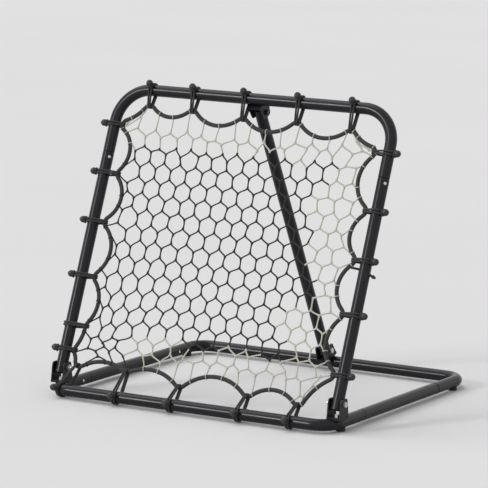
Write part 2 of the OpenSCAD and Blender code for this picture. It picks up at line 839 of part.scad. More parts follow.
// Tie axes on the front left bend: +X up to the corner of the net
corner_run = norm([corner_x, corner_y] - corner_at);
corner_rise = atan2(corner_s * cos(lean), corner_run);
corner_span = norm([corner_run, corner_s * cos(lean)]);
module on_corner() {
    from_front() translate([corner_at.x, corner_at.y, 0])
        rotate([90, 0, 90 - corner_turn]) rotate([0, 0, corner_rise]) children();
}

module ties_top() {
    color(CORD_BLACK) for (t = top_ties) on_top_bar(t) tie(top_reach + t.y);
}

module ties_left() {
    color(CORD_BLACK) for (t = left_ties) on_leg(-1, t) tie(side_reach + t.y);
}

module ties_right() {
    color(CORD_BLACK) for (t = right_ties) on_leg(1, t) tie(side_reach + t.y);
}

module ties_front() {
    color(CORD_BLACK) {
        for (t = front_ties) on_front_bar(t) tie(norm(front_way(t)));
        on_corner() tie(corner_span, loop_r + 2.6);
    }
}

module balls_top() {
    color(CORD_BLACK) for (t = top_ties) on_top_bar(t) ball(top_ball_turn - 180);
}

module balls_left() {
    color(CORD_BLACK) for (t = left_ties) on_leg(-1, t)
        ball((t.z == undef ? side_ball_turn : t.z) - 180);
}

module balls_right() {
    color(CORD_BLACK) for (t = right_ties) on_leg(1, t) ball(side_ball_turn - 180);
}

module balls_front() {
    color(CORD_BLACK) {
        for (t = front_ties) on_front_bar(t) ball(180 - front_ball_turn - front_rise(t));
        on_corner() ball(180 - front_ball_turn - corner_rise);
    }
}

base_front_u();
base_rear_u();
base_side_left();
base_side_right();
bracket_left();
bracket_right();
bracket_prop();
bracket_bolt_left();
bracket_bolt_right();
bracket_bolt_prop();
hinge_bolt_left();
hinge_bolt_right();
hinge_nut_left();
hinge_nut_right();
foot_front_left();
foot_front_right();
foot_rear_left();
foot_rear_right();
top_u();
leg_left();
leg_right();
bracket_top();
prop_bolt();
prop_nut();
prop_tube();
prop_pin();
prop_pin_nut();
snap_front_left();
snap_front_right();
snap_rear_left();
snap_rear_right();
snap_leg_left();
snap_leg_right();
net();
border_cord();
ties_top();
ties_left();
ties_right();
ties_front();
balls_top();
balls_left();
balls_right();
balls_front();
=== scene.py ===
# %% [markdown]
# # A pitch-back rebounder
#
# A net on a leaning frame of black tube. The frame stands on a flat ring, a prop holds it from
# behind, and short elastic ball ties pull the net's border cord out to the tubes. The rigid
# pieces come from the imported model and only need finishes. The soft ones (net, cord, ties and
# balls) are made here, as surfaces worked out with numpy.

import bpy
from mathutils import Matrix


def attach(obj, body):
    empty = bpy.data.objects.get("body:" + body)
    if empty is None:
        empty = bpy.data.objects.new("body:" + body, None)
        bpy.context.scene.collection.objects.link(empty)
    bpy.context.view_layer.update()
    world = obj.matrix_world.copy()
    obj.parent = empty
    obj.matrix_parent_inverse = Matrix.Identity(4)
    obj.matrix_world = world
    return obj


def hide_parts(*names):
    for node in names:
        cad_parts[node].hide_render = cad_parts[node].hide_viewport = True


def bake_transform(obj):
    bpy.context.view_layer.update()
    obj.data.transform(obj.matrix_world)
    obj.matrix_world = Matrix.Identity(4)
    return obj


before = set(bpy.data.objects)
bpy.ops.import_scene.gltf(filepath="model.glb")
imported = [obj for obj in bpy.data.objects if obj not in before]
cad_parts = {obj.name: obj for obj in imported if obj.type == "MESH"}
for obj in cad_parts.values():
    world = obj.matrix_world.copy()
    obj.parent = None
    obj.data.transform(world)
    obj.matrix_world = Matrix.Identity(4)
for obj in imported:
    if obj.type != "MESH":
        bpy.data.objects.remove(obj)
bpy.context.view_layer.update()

import bpy
import numpy as np
from mathutils import Matrix

rng = np.random.default_rng(7)

# %% [markdown]
# ## The camera
#
# The view is a long lens from the front right, nearly nine metres off and one metre above the
# top bar. A camera is given here by its place and three turns: yaw about the vertical, pitch
# below the horizon and roll about its own axis. Its matrix could come from Euler angles, but
# written as three axis vectors each turn can be read on its own line.

# %% Aim the camera
yaw, pitch, roll = np.radians([30.77, 9.34, 0.75])
forward = np.array([-np.sin(yaw) * np.cos(pitch), np.cos(yaw) * np.cos(pitch), -np.sin(pitch)])
level = np.array([np.cos(yaw), np.sin(yaw), 0.0])
upward = np.cross(level, forward)
right = np.cos(roll) * level + np.sin(roll) * upward
top = np.cos(roll) * upward - np.sin(roll) * level

camera_data = bpy.data.cameras.new("camera")
camera_data.sensor_width = 36.0
camera_data.lens = 250.8  # the view is only a seventh of its distance wide
camera_data.clip_end = 200.0
camera = bpy.data.objects.new("camera", camera_data)
place = np.eye(4)
place[:3, :3] = np.stack([right, top, -forward], axis=1)
place[:3, 3] = (4.3591, -7.3993, 1.7981)
camera.matrix_world = Matrix(place)
bpy.context.scene.collection.objects.link(camera)
bpy.context.scene.camera = camera
print("camera at", place[:3, 3].round(3), "looking along", forward.round(3))

# %% [markdown]
# ## Measures
#
# Everything is in metres: X across the front, Y to the back and Z up, with the origin on the
# ground in the middle of the footprint. The net lies in a plane that leans back from the front
# bar, so most soft pieces are easiest to think of in that plane: how far across, how far up
# the legs, and how far out of the front.

# %% Sizes of the frame and its leaning plane
half_width = 0.405  # from the middle to a leg's centre line
bar_radius = 0.015
frame_length = 0.798  # from the ring's centre plane up the legs to the top bar
ring_height = 0.021
middle_back = 0.3453  # from the front bar to the origin
foot_back = 0.024  # how far behind the front bar the leaning plane passes
lean = np.radians(21.9)
plane_up = np.array([0.0, np.sin(lean), np.cos(lean)])
plane_out = np.array([0.0, -np.cos(lean), np.sin(lean)])
plane_foot = np.array([0.0, foot_back - middle_back, ring_height])


def on_plane(across, up, out=0.0):
    """Foot of the plane + across along X + up along the legs + out of the front."""
    across, up, out = (np.asarray(v, float)[..., None] for v in (across, up, out))
    return plane_foot + across * [1.0, 0.0, 0.0] + up * plane_up + out * plane_out


print("top bar at", on_plane(0, frame_length).round(3))

# %% [markdown]
# ## Two ways to make a surface
#
# A cord is a circle carried along a path. Blender's curve bevel does that too, but a surface
# worked out as arrays can carry its own UV map, length along the cord in one direction and
# turn round it in the other, and braid and twist patterns need exactly that. A ball or a
# knot is a profile turned round an axis.


# %% A tube along a path
def carried_circle(path, radius, sides, across, closed=False, flat=1.0):
    """Ring point = path + radius * (cos a * side + flat * sin a * up), where side = along x
    across and up = side x along. `path` is (tubes, points, 3): many tubes are made at once."""
    path = np.asarray(path, float)
    count, points = path.shape[:2]
    radius = np.broadcast_to(radius, (count, points))
    along = np.roll(path, -1, 1) - np.roll(path, 1, 1) if closed else np.gradient(path, axis=1)
    side = np.cross(along, across)
    side /= np.linalg.norm(side, axis=-1, keepdims=True)
    up = np.cross(side, along)
    up /= np.linalg.norm(up, axis=-1, keepdims=True)
    angle = np.arange(sides) * 2 * np.pi / sides
    turned = np.cos(angle)[:, None] * side[:, :, None] + flat * np.sin(angle)[:, None] * up[:, :, None]
    verts = path[:, :, None] + radius[:, :, None, None] * turned
    steps = np.linalg.norm(np.diff(path, axis=1, append=path[:, :1]), axis=-1)
    length = np.concatenate([np.zeros((count, 1)), np.cumsum(steps, axis=1)], axis=1)

    runs = points if closed else points - 1
    t, i, j = np.meshgrid(np.arange(count), np.arange(runs), np.arange(sides), indexing="ij")
    corner_i = np.stack([i, i + 1, i + 1, i], -1)
    corner_j = np.stack([j, j, j + 1, j + 1], -1)
    t = t[..., None]
    quads = (t * points + corner_i % points) * sides + corner_j % sides
    uv = np.stack([length[t, corner_i], corner_j / sides], -1)
    shape = {"verts": verts.reshape(-1, 3), "quads": quads.reshape(-1, 4), "uv": uv.reshape(-1, 2)}
    if not closed:
        ring = np.arange(sides)
        first = np.arange(count)[:, None] * points * sides
        ends = np.concatenate([first + ring, first + (points - 1) * sides + ring[::-1]])
        shape["ends"] = ends
        u = np.concatenate([length[:, :1], length[:, points - 1 : points]])
        shape["end_uv"] = np.stack(
            [np.broadcast_to(u, ends.shape), np.broadcast_to(ring / sides, ends.shape)], -1
        ).reshape(-1, 2)
    return shape


# %% A profile turned round an axis
def turned_profile(centre, axis, profile, sides):
    """Point = centre + height * axis + radius * (cos a * side + sin a * up), for each (radius,
    height) of the profile, which starts and ends on the axis. `centre` and `axis` are (n, 3)."""
    centre, axis = np.atleast_2d(centre), np.atleast_2d(axis)
    axis = axis / np.linalg.norm(axis, axis=1, keepdims=True)
    helper = np.where(np.abs(axis[:, :1]) < 0.9, [[1.0, 0.0, 0.0]], [[0.0, 1.0, 0.0]])
    side = np.cross(axis, helper)
    side /= np.linalg.norm(side, axis=1, keepdims=True)
    up = np.cross(axis, side)
    radius, height = np.asarray(profile, float).T
    angle = np.arange(sides) * 2 * np.pi / sides
    turned = np.cos(angle)[:, None] * side[:, None] + np.sin(angle)[:, None] * up[:, None]
    verts = (
        centre[:, None, None]
        + height[1:-1, None, None] * axis[:, None, None]
        + radius[1:-1, None, None] * turned[:, None]
    )
    count, rings = len(centre), len(radius) - 2
    poles = np.stack([centre + height[0] * axis, centre + height[-1] * axis], 1)
    ring_verts = verts.reshape(-1, 3)
    start = len(ring_verts)
    n, i, j = np.meshgrid(np.arange(count), np.arange(rings - 1), np.arange(sides), indexing="ij")
    corner_i = np.stack([i, i + 1, i + 1, i], -1)
    corner_j = np.stack([j, j, j + 1, j + 1], -1)
    quads = (n[..., None] * rings + corner_i) * sides + corner_j % sides
    uv = np.stack([height[1:-1][corner_i], corner_j / sides], -1)
    n, j = np.meshgrid(np.arange(count), np.arange(sides), indexing="ij")
    after = (j + 1) % sides
    low = n * rings * sides
    high = low + (rings - 1) * sides
    caps = np.concatenate(
        [
            np.stack([start + 2 * n, low + j, low + after], -1).reshape(-1, 3),
            np.stack([start + 2 * n + 1, high + after, high + j], -1).reshape(-1, 3),
        ]
    )
    return {
        "verts": np.concatenate([ring_verts, poles.reshape(-1, 3)]),
        "quads": quads.reshape(-1, 4),
        "uv": uv.reshape(-1, 2),
        "ends": caps,
        "end_uv": np.zeros((caps.size, 2)),
    }


# %% Put surfaces into one mesh
def joined(shapes):
    """Surfaces as one: faces as (corner list, corners per face), numbered on from each other."""
    verts, corners, sizes, uvs, tone, seen = [], [], [], [], [], 0
    for shape in shapes:
        for faces, uv in (("quads", "uv"), ("ends", "end_uv")):
            if faces in shape:
                corners.append((shape[faces] + seen).ravel())
                sizes.append(np.full(len(shape[faces]), shape[faces].shape[1]))
                uvs.append(shape[uv])
        verts.append(shape["verts"])
        tone.append(np.broadcast_to(shape.get("tone", 0.0), len(shape["verts"])))
        seen += len(shape["verts"])
    return [np.concatenate(part) for part in (verts, corners, sizes, uvs, tone)]


def new_piece(name, shapes, finish, body=None, stands_for=()):
    """Builds the mesh with its UV map `lay` and its point value `tone`, gives it a finish, and
    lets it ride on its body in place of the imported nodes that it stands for."""
    verts, corners, sizes, uvs, tone = joined(shapes)
    mesh = bpy.data.meshes.new(name)
    mesh.vertices.add(len(verts))
    mesh.vertices.foreach_set("co", verts.ravel())
    mesh.loops.add(len(corners))
    mesh.loops.foreach_set("vertex_index", corners.astype(np.int32))
    mesh.polygons.add(len(sizes))
    starts = np.concatenate([[0], np.cumsum(sizes)[:-1]])
    mesh.polygons.foreach_set("loop_start", starts.astype(np.int32))
    mesh.uv_layers.new(name="lay").data.foreach_set("uv", uvs.ravel())
    mesh.attributes.new("tone", "FLOAT", "POINT").data.foreach_set("value", tone.astype(np.float32))
    mesh.update(calc_edges=True)
    mesh.validate()
    mesh.polygons.foreach_set("use_smooth", np.ones(len(sizes), bool))
    mesh.materials.append(finish)
    piece = bpy.data.objects.new(name, mesh)
    bpy.context.scene.collection.objects.link(piece)
    if body:
        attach(piece, body)
    if stands_for:
        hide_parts(*stands_for)
    print(f"{name}: {len(verts)} points, {int((sizes - 2).sum())} triangles")
    return piece


# %% [markdown]
# ## Shader maths as Python
#
# A finish is a small graph of nodes. Graphs could be wired link by link, but then a formula
# such as "ridge = |sin| of the lay" takes a dozen lines. Here a socket is wrapped in a class
# whose + - * build Math nodes, so a formula reads as a formula.


# %% A socket that can be reckoned with
class Value:
    """One output socket; an operator on it adds the Math node that does the same."""

    def __init__(self, coat, socket):
        self.coat, self.socket = coat, socket

    def math(self, operation, *values):
        return self.coat.node("Math", {"operation": operation}, dict(enumerate(values)))

    def __add__(self, other):
        return self.math("ADD", self, other)

    def __sub__(self, other):
        return self.math("SUBTRACT", self, other)

    def __rsub__(self, other):
        return self.math("SUBTRACT", other, self)

    def __mul__(self, other):
        return self.math("MULTIPLY", self, other)

    __radd__, __rmul__ = __add__, __mul__

    def sine(self):
        return self.math("SINE", self)

    def size(self):
        return self.math("ABSOLUTE", self)

    def between(self, low, high):
        """0 below low, 1 above high, and smooth between."""
        values = {"Value": self, "From Min": low, "From Max": high}
        return self.coat.node("MapRange", {"interpolation_type": "SMOOTHSTEP"}, values)


# %% A finish
class Coat:
    """A material with its shader, and one method that adds any other node."""

    def __init__(self, name, **constants):
        self.material = bpy.data.materials.new(name)
        self.material.use_nodes = True
        self.tree = self.material.node_tree
        self.shader = self.tree.nodes["Principled BSDF"]
        for socket, value in constants.items():
            self.shader.inputs[socket.replace("_", " ")].default_value = value

    def node(self, kind, settings=None, values=None, output=0):
        made = self.tree.nodes.new("ShaderNode" + kind)
        for key, value in (settings or {}).items():
            if key == "stops":
                elements = made.color_ramp.elements
                while len(elements) < len(value):
                    elements.new(0.5)
                for element, (at, colour) in zip(elements, value):
                    element.position, element.color = at, (*colour, 1.0)
            else:
                setattr(made, key, value)
        for key, value in (values or {}).items():
            if isinstance(value, Value):
                self.tree.links.new(value.socket, made.inputs[key])
            else:
                made.inputs[key].default_value = value
        return Value(self, made.outputs[output])

    def feed(self, **links):
        for socket, value in links.items():
            self.tree.links.new(value.socket, self.shader.inputs[socket.replace("_", " ")])

    def place(self):
        return self.node("TexCoord", output="Object")

    def noise(self, scale, detail=3.0, rough=0.5, at=None):
        values = {"Vector": at or self.place(), "Scale": scale, "Detail": detail, "Roughness": rough}
        return self.node("TexNoise", None, values)

    def lay(self):
        """Length along a cord in metres and the turn round it, from its own UV map."""
        split = self.node("SeparateXYZ", None, {0: self.node("UVMap", {"uv_map": "lay"})})
        return split, Value(self, split.socket.node.outputs[1])

    def shades(self, amount, *colours):
        """A colour that runs evenly through the given ones as amount goes from 0 to 1."""
        stops = [(k / (len(colours) - 1), colour) for k, colour in enumerate(colours)]
        return self.node("ValToRGB", {"stops": stops}, {0: amount})

    def mixed(self, amount, first, second):
        return self.node("Mix", {"data_type": "RGBA"}, {0: amount, 6: first, 7: second}, output=2)

    def bump(self, height, depth, strength=1.0):
        values = {"Height": height, "Distance": depth, "Strength": strength}
        self.feed(Normal=self.node("Bump", None, values))


# %% [markdown]
# ## Finishes of the metal pieces
#
# The tubes and brackets are powder coated: black, a little violet, glossy, and with the
# fine orange-peel surface that the powder leaves when it melts. A bump from a noise of about
# two millimetres makes it. Handling rubs the gloss off in patches, so roughness follows a
# larger noise. Bolts are zinc plated, with the spangled, slightly yellow grey of that
# plating, and the spring buttons are plain bright steel. The bolt at the top of the prop is
# blackened like the tubes beside it.


# %% Powder coat
def powder_coat(name, gloss, depth):
    coat = Coat(name, IOR=1.5, Specular_IOR_Level=0.22)
    peel = coat.noise(520.0, 2.0)
    rubbed = coat.noise(14.0, 4.0, 0.6)
    dust = coat.noise(60.0, 5.0, 0.65)
    colour = coat.shades(dust * 0.6 + rubbed * 0.4, (0.005, 0.005, 0.007), (0.016, 0.014, 0.019))
    coat.feed(Base_Color=colour, Roughness=rubbed.between(0.35, 0.75) * 0.10 + dust * 0.06 + gloss)
    coat.bump(peel, depth, 0.6)
    return coat.material


tube_coat = powder_coat("tube_powder_coat", 0.20, 0.00005)
bracket_coat = powder_coat("bracket_powder_coat", 0.30, 0.00015)


# %% Zinc and spring steel
def plated(name, dark, light, rough, grain):
    coat = Coat(name, Metallic=1.0)
    spangle = coat.node("TexVoronoi", None, {"Vector": coat.place(), "Scale": grain}, output="Color")
    patch = coat.noise(grain * 0.3, 4.0, 0.6)
    tint = coat.node("RGBToBW", None, {0: spangle})
    coat.feed(
        Base_Color=coat.shades(tint * 0.4 + patch * 0.6, dark, light),
        Roughness=patch * 0.22 + tint * 0.06 + rough,
    )
    coat.bump(patch, 0.00008, 0.5)
    return coat.material


zinc = plated("zinc_plate", (0.42, 0.42, 0.40), (0.74, 0.73, 0.70), 0.22, 900.0)
spring_steel = plated("spring_steel", (0.30, 0.31, 0.32), (0.66, 0.67, 0.69), 0.16, 600.0)
black_oxide = plated("black_oxide", (0.020, 0.020, 0.022), (0.060, 0.059, 0.062), 0.30, 700.0)


# %% Rubber of the feet
rubber = Coat("foot_rubber", Specular_IOR_Level=0.3)
grain = rubber.noise(900.0, 4.0, 0.7)
smear = rubber.noise(70.0, 4.0, 0.6)
rubber.feed(
    Base_Color=rubber.shades(smear, (0.010, 0.010, 0.010), (0.040, 0.039, 0.037)),
    Roughness=smear * 0.18 + 0.66,
)
rubber.bump(grain, 0.00015, 0.7)

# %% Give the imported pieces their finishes
finish_of = {
    "bracket_bolt": zinc,
    "hinge": zinc,
    "prop_bolt": black_oxide,
    "prop_nut": black_oxide,
    "prop_pin": zinc,
    "bracket": bracket_coat,
    "foot": rubber.material,
    "snap": spring_steel,
}
for name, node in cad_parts.items():
    fitting = [finish for start, finish in finish_of.items() if name.startswith(start)]
    chosen = fitting[0] if fitting else tube_coat
    for material_slot in node.material_slots:
        material_slot.material = chosen
print("finished", len(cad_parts), "packed nodes")

# %% [markdown]
# ## Finishes of the cords
#
# The border cord and the elastic are braided: bundles of yarn wind round both ways and pass
# over and under. In the cord's own UV map one family of bundles is sin(length + turn) and the
# other sin(length - turn), and the higher of the two lies on top, so a bump from the larger
# one draws the plaits. An image texture of a braid would have to be drawn first and would
# stretch in the bends. This needs no image and follows every bend.


# %% Braided cord
def braided(name, pitch, bundles, dark, light, depth, rough):
    coat = Coat(name, Specular_IOR_Level=0.25, Sheen_Weight=0.12, Sheen_Roughness=0.5)
    length, turn = coat.lay()
    first = length * (2 * np.pi / pitch) + turn * (2 * np.pi * bundles)
    second = length * (2 * np.pi / pitch) - turn * (2 * np.pi * bundles)
    plait = first.sine().math("MAXIMUM", first.sine(), second.sine()) * 0.5 + 0.5
    fuzz = coat.noise(2600.0, 2.0, 0.6)
    worn = coat.noise(35.0, 4.0, 0.6)
    # The colour follows the plaits too: the gaps between the bundles are painted darker as shade, and
    # fuzz and wear vary it at random.
    coat.feed(
        Base_Color=coat.shades((plait * 0.55 + fuzz * 0.25 + worn * 0.2), dark, light),
        Roughness=worn * 0.14 + rough,
    )
    coat.bump(plait + fuzz * 0.25, depth, 0.9)
    return coat.material


border_pitch = 0.009
braid_dark = (0.006, 0.006, 0.007)
border_light = (0.040, 0.040, 0.042)
elastic_light = (0.038, 0.037, 0.040)
border_finish = braided("border_braid", border_pitch, 4, braid_dark, border_light, 0.0007, 0.55)
elastic_finish = braided("elastic_braid", 0.003, 5, braid_dark, elastic_light, 0.0003, 0.48)


# %% Twine of the net
twine_pitch = 0.0052
twine = Coat("net_twine", Specular_IOR_Level=0.25)
length, turn = twine.lay()
strand = (length * (2 * np.pi / twine_pitch) + turn * (2 * np.pi * 2)).sine() * 0.5 + 0.5
fibre = twine.noise(3000.0, 2.0, 0.6)
patchy = twine.noise(24.0, 3.0, 0.6)
# Half of each colour follows the twist: the grooves between the plies are painted darker as shade, and
# fibre and patches vary it at random.
dark_tone_and_groove_shade = strand * 0.5 + fibre * 0.3 + patchy * 0.2
pale_tone_and_groove_shade = strand * 0.5 + fibre * 0.2 + patchy * 0.3
dark_twine = twine.shades(dark_tone_and_groove_shade, (0.004, 0.006, 0.004), (0.030, 0.036, 0.027))
pale_twine = twine.shades(pale_tone_and_groove_shade, (0.26, 0.25, 0.20), (0.78, 0.76, 0.68))
paleness = twine.node("Attribute", {"attribute_name": "tone"}, output="Fac")
twine.feed(Base_Color=twine.mixed(paleness, dark_twine, pale_twine), Roughness=patchy * 0.16 + 0.5)
twine.bump(strand + fibre * 0.3, 0.0004, 0.8)

# %% Plastic of the balls
plastic = Coat("ball_plastic", Specular_IOR_Level=0.4)
height = plastic.lay()[0]
seam = (height.size() * 4000.0).between(0.0, 1.0)
texture = plastic.noise(700.0, 3.0, 0.6)
scuff = plastic.noise(90.0, 4.0, 0.6)
plastic.feed(
    Base_Color=plastic.shades(scuff, (0.010, 0.010, 0.011), (0.034, 0.033, 0.036)),
    Roughness=scuff * 0.2 + 0.30,
)
plastic.bump(seam * 0.6 + texture * 0.12, 0.0003, 0.8)

# %% [markdown]
# ## The line of the border cord
#
# The border cord runs between the ties in shallow arcs and turns sharply at each tie. It could
# be drawn freehand as a curve. Here each tie is a small circle, each stretch an arc that
# touches the circles at its two ends, and the whole line is then read off at even steps, so
# that the braid has one pitch all the way round.

# %% Ties, as place along the bar and how much further in than usual
top_ties = np.array([[-310, -11], [-180, -7], [-28, 2], [130, 0], [287, 8]]) / 1000
front_ties = np.array([[-210, 22], [-48, 1], [150, 1], [296, -4]]) / 1000
left_ties = np.array([[100, -7], [165, 12], [295, 5], [440, 0], [570, 7], [700, -10]]) / 1000
right_ties = np.array([[122, -7], [274, 2], [412, 0], [538, -3], [688, 5]]) / 1000
side_reach, top_reach, net_bottom = 0.033, 0.050, 0.038
cord_width, cord_thickness, elastic_radius, turn_radius = 0.0110, 0.0086, 0.0026, 0.014

# The corner tie comes off the bend of the ring, 25 degrees round it
corner_turn, corner_up, bend = np.radians(25), 0.058, 0.050
corner_way = np.array([np.sin(corner_turn), np.cos(corner_turn)])
corner_bar = np.array([bend - half_width, bend]) - bend * corner_way
corner_back = foot_back + corner_up * np.sin(lean)
corner_across = corner_bar[0] + (corner_back - corner_bar[1]) * np.tan(corner_turn)

# Each row: across, up, direction in to the net in degrees, and the sag of the stretch that
# follows, as a share of its length
side_in = half_width - side_reach
top_in = frame_length - top_reach
side_sag, bar_sag, bend_sag = 0.24, 0.20, 0.08
front_sags = [0.15, bar_sag, bar_sag, bend_sag]
right_sags = [side_sag] * 4 + [bend_sag]
top_sags = [bar_sag] * 4 + [bend_sag]
left_sags = [side_sag] * 3 + [0.20, 0.07, bend_sag]
down_left, leftwards = left_ties[::-1], top_ties[::-1]
turns = np.concatenate(
    [
        [[corner_across, corner_up, 78, 0.14]],
        np.c_[front_ties[:, 0], net_bottom + front_ties[:, 1], np.full(4, 90), front_sags],
        np.c_[side_in - right_ties[:, 1], right_ties[:, 0], np.full(5, 180), right_sags],
        np.c_[leftwards[:, 0], top_in - leftwards[:, 1], np.full(5, 270), top_sags],
        np.c_[down_left[:, 1] - side_in, down_left[:, 0], np.zeros(6), left_sags],
    ]
)


# %% The cord's centre line
def arcs(centre, radius, angle):
    """Centre + radius * (cos a, sin a), one row of points for each centre."""
    return centre[:, None] + radius[:, None, None] * np.stack([np.cos(angle), np.sin(angle)], -1)


def cord_line(turns, radius, points):
    """Round each hub (tie point + radius inwards) on a circle, then along the arc that touches
    this circle and the next. The arc through both hubs, with chord c and sag h, has a radius of
    (c*c/4 + h*h) / 2h, and the one that touches their circles is smaller by the hub's radius."""
    way = np.radians(turns[:, 2])
    hub = turns[:, :2] + radius * np.stack([np.cos(way), np.sin(way)], 1)
    after = np.roll(hub, -1, 0)
    chord = np.linalg.norm(after - hub, axis=1)
    sag = turns[:, 3] * chord
    bow = (chord**2 / 4 + sag**2) / (2 * sag)
    inward = np.stack([hub[:, 1] - after[:, 1], after[:, 0] - hub[:, 0]], 1) / chord[:, None]
    centre = (hub + after) / 2 - inward * (bow - sag)[:, None]
    half = np.arcsin(chord / 2 / bow)
    middle = np.arctan2(inward[:, 1], inward[:, 0])
    begin = np.roll(middle - half, 1) + np.pi
    sweep = (middle + half + np.pi - begin) % (2 * np.pi)
    hub_angle = begin[:, None] + sweep[:, None] * np.linspace(0, 1, 9)
    arc_angle = (middle + half)[:, None] - 2 * half[:, None] * np.linspace(0, 1, 61)
    on_hubs = arcs(hub, np.full(len(hub), radius), hub_angle)
    on_arcs = arcs(centre, bow - radius, arc_angle)
    line = np.concatenate([on_hubs, on_arcs], 1).reshape(-1, 2)
    line = np.concatenate([line, line[:1]])
    far = np.concatenate([[0], np.cumsum(np.linalg.norm(np.diff(line, axis=0), axis=1))])
    even = np.arange(points) * far[-1] / points
    return np.stack([np.interp(even, far, line[:, k]) for k in (0, 1)], 1), far[-1]


cord_points, cord_length = cord_line(turns, turn_radius, 860)

# The mean of each point and its neighbours takes the last kinks out
weights = np.array([1, 2, 3, 2, 1]) / 9
cord_points = sum(w * np.roll(cord_points, k - 2, axis=0) for k, w in enumerate(weights))
print("border cord:", round(cord_length, 3), "m round, over", len(turns), "ties")

# %% Border cord
cord_line_3d = on_plane(cord_points[:, 0], cord_points[:, 1])
flatness = cord_thickness / cord_width
braid = carried_circle(cord_line_3d[None], cord_width / 2, 14, plane_out, closed=True, flat=flatness)

# A whole number of plaits goes round, so the pattern meets itself
braid["uv"][:, 0] *= round(cord_length / border_pitch) * border_pitch / braid["uv"][:, 0].max()

# %% Its tied-off end, round the back of the right leg
tail_up, tail_start, tail_radius, tail_stop = 0.393, 0.040, 0.003, np.radians(122)
stub_length, tail_sink = 0.024, 0.019
tail_wheel = bar_radius + tail_radius
tail_turn = np.arccos(tail_wheel / tail_start)
round_leg = np.linspace(tail_turn, tail_stop, 14)
on_leg = tail_wheel * np.stack([np.cos(round_leg), np.sin(round_leg)], 1)
stub_way = np.array([-np.sin(tail_stop), np.cos(tail_stop)])
share = np.linspace(0, 1, 6)[:, None]
to_leg = [tail_start, 0.0] * (1 - share[:-1]) + on_leg[:1] * share[:-1]
stub = on_leg[-1:] + stub_length * stub_way * share[1:]
tail_flat = np.concatenate([to_leg, on_leg, stub])
tail_drop = tail_sink * np.linspace(0, 1, len(tail_flat)) ** 2
tail_path = on_plane(half_width - tail_flat[:, 0], tail_up - tail_drop, -tail_flat[:, 1])
tail = carried_circle(tail_path[None], tail_radius, 10, plane_up)
knot_at = tail_path[-3]
knot_way = tail_path[-1] - tail_path[-2]
bead = np.linspace(0, np.pi, 9)
bead_profile = np.stack([0.0050 * np.sin(bead), 0.0062 * np.cos(bead)], 1)
tail_knot = turned_profile(knot_at, knot_way, bead_profile, 12)
cord_shapes = [braid, tail, tail_knot]
new_piece("border_cord_braid", cord_shapes, border_finish, "net_frame", ["border_cord"])

# %% [markdown]
# ## The net
#
# Knotless netting is braided in one go: strands run together up a short bar, part, and meet
# their other neighbours, which gives six-sided meshes. Pulled out by its border it finds its
# own balance. A cloth simulation could find it, but a tight net obeys a simple rule: at every
# crossing the pulls of the strands cancel. With each pull in proportion to length that is one
# set of linear equations, solved in one line, and it gives the same net every time.

# %% A lattice of six-sided meshes over the border
def length_of(ties):
    """Distance from the first of a row of ties to the last, along its bar."""
    return ties[-1, 0] - ties[0, 0]


# The lattice's plain edges lie near the mean depth of the scallops: five sixths of the mean
# sag at the sides, and two thirds of it at the foot and the top
columns, rows = 15, 16
side_mean = side_in - side_sag * length_of(left_ties) / 6
low_mean = net_bottom + bar_sag * length_of(front_ties) / 4.5
high_mean = top_in - bar_sag * length_of(top_ties) / 6
cell = np.array([2 * side_mean / columns, (high_mean - low_mean) / rows])

# Odd rows stand half a cell to the side, and one more row and column goes round the border
grid = np.meshgrid(np.arange(-1, rows + 1), np.arange(-1, columns + 2), indexing="ij")
row, column = (g.ravel() for g in grid)
centre_across = (column + 0.5 - (row % 2) / 2) * cell[0] - side_mean
centres = np.stack([centre_across, low_mean + (row + 0.5) * cell[1]], 1)
corners = np.array([[0, 2], [-1.5, 1], [-1.5, -1], [0, -2], [1.5, -1], [1.5, 1]]) / 3
spots = (centres[:, None] + corners * cell).reshape(-1, 2)

# Corners of neighbouring cells that lie within half a millimetre are one crossing
keys, which = np.unique(np.round(spots / 0.0005).astype(int), axis=0, return_inverse=True)
which = which.reshape(-1, 6)
crossings = np.zeros((len(keys), 2))
crossings[which.ravel()] = spots
sides_of_cells = np.stack([which, np.roll(which, -1, 1)], -1).reshape(-1, 2)
strands = np.unique(np.sort(sides_of_cells, axis=1), axis=0)
print(len(crossings), "crossings and", len(strands), "strands before cutting")


# %% Draw the lattice's rim out to the cord
rim_depth, rim_fade, rim_limit = 0.007, 0.024, 0.03


def drawn_out(points):
    """Point + (the cord's distance from the lattice's edge beside it) * exp(-depth / 24 mm), for
    the four sides in turn. The outermost 7 mm all move alike, and none by more than 30 mm."""
    moved = points.copy()
    right_side = cord_points[cord_points[:, 0] > 0.25]
    left_side = cord_points[cord_points[:, 0] < -0.25]
    high_side = cord_points[cord_points[:, 1] > 0.66]
    low_side = cord_points[cord_points[:, 1] < 0.13]
    for side, axis, mean, sign in (
        (right_side, 0, side_mean, -1),
        (left_side, 0, -side_mean, 1),
        (high_side, 1, high_mean, -1),
        (low_side, 1, low_mean, 1),
    ):
        other = 1 - axis
        order = np.argsort(side[:, other])
        offset = np.interp(points[:, other], side[order, other], side[order, axis] - mean)
        depth = np.maximum(sign * (points[:, axis] - mean) - rim_depth, 0)
        moved[:, axis] += np.clip(offset, -rim_limit, rim_limit) * np.exp(-depth / rim_fade)
    return moved


def inside(points, outline):
    """True where a ray along X crosses the outline an odd number of times."""
    x, y = points[:, None, 0], points[:, None, 1]
    ax, ay = outline[:, 0], outline[:, 1]
    bx, by = np.roll(ax, -1), np.roll(ay, -1)
    crosses = (ay > y) != (by > y)
    reach = ax + (y - ay) * (bx - ax) / np.where(by == ay, 1, by - ay)
    return (crosses & (x < reach)).sum(1) % 2 == 1


drawn = drawn_out(crossings)
step = np.roll(cord_points, -1, 0) - np.roll(cord_points, 1, 0)
cord_in = np.stack([-step[:, 1], step[:, 0]], 1) / np.linalg.norm(step, axis=1, keepdims=True)

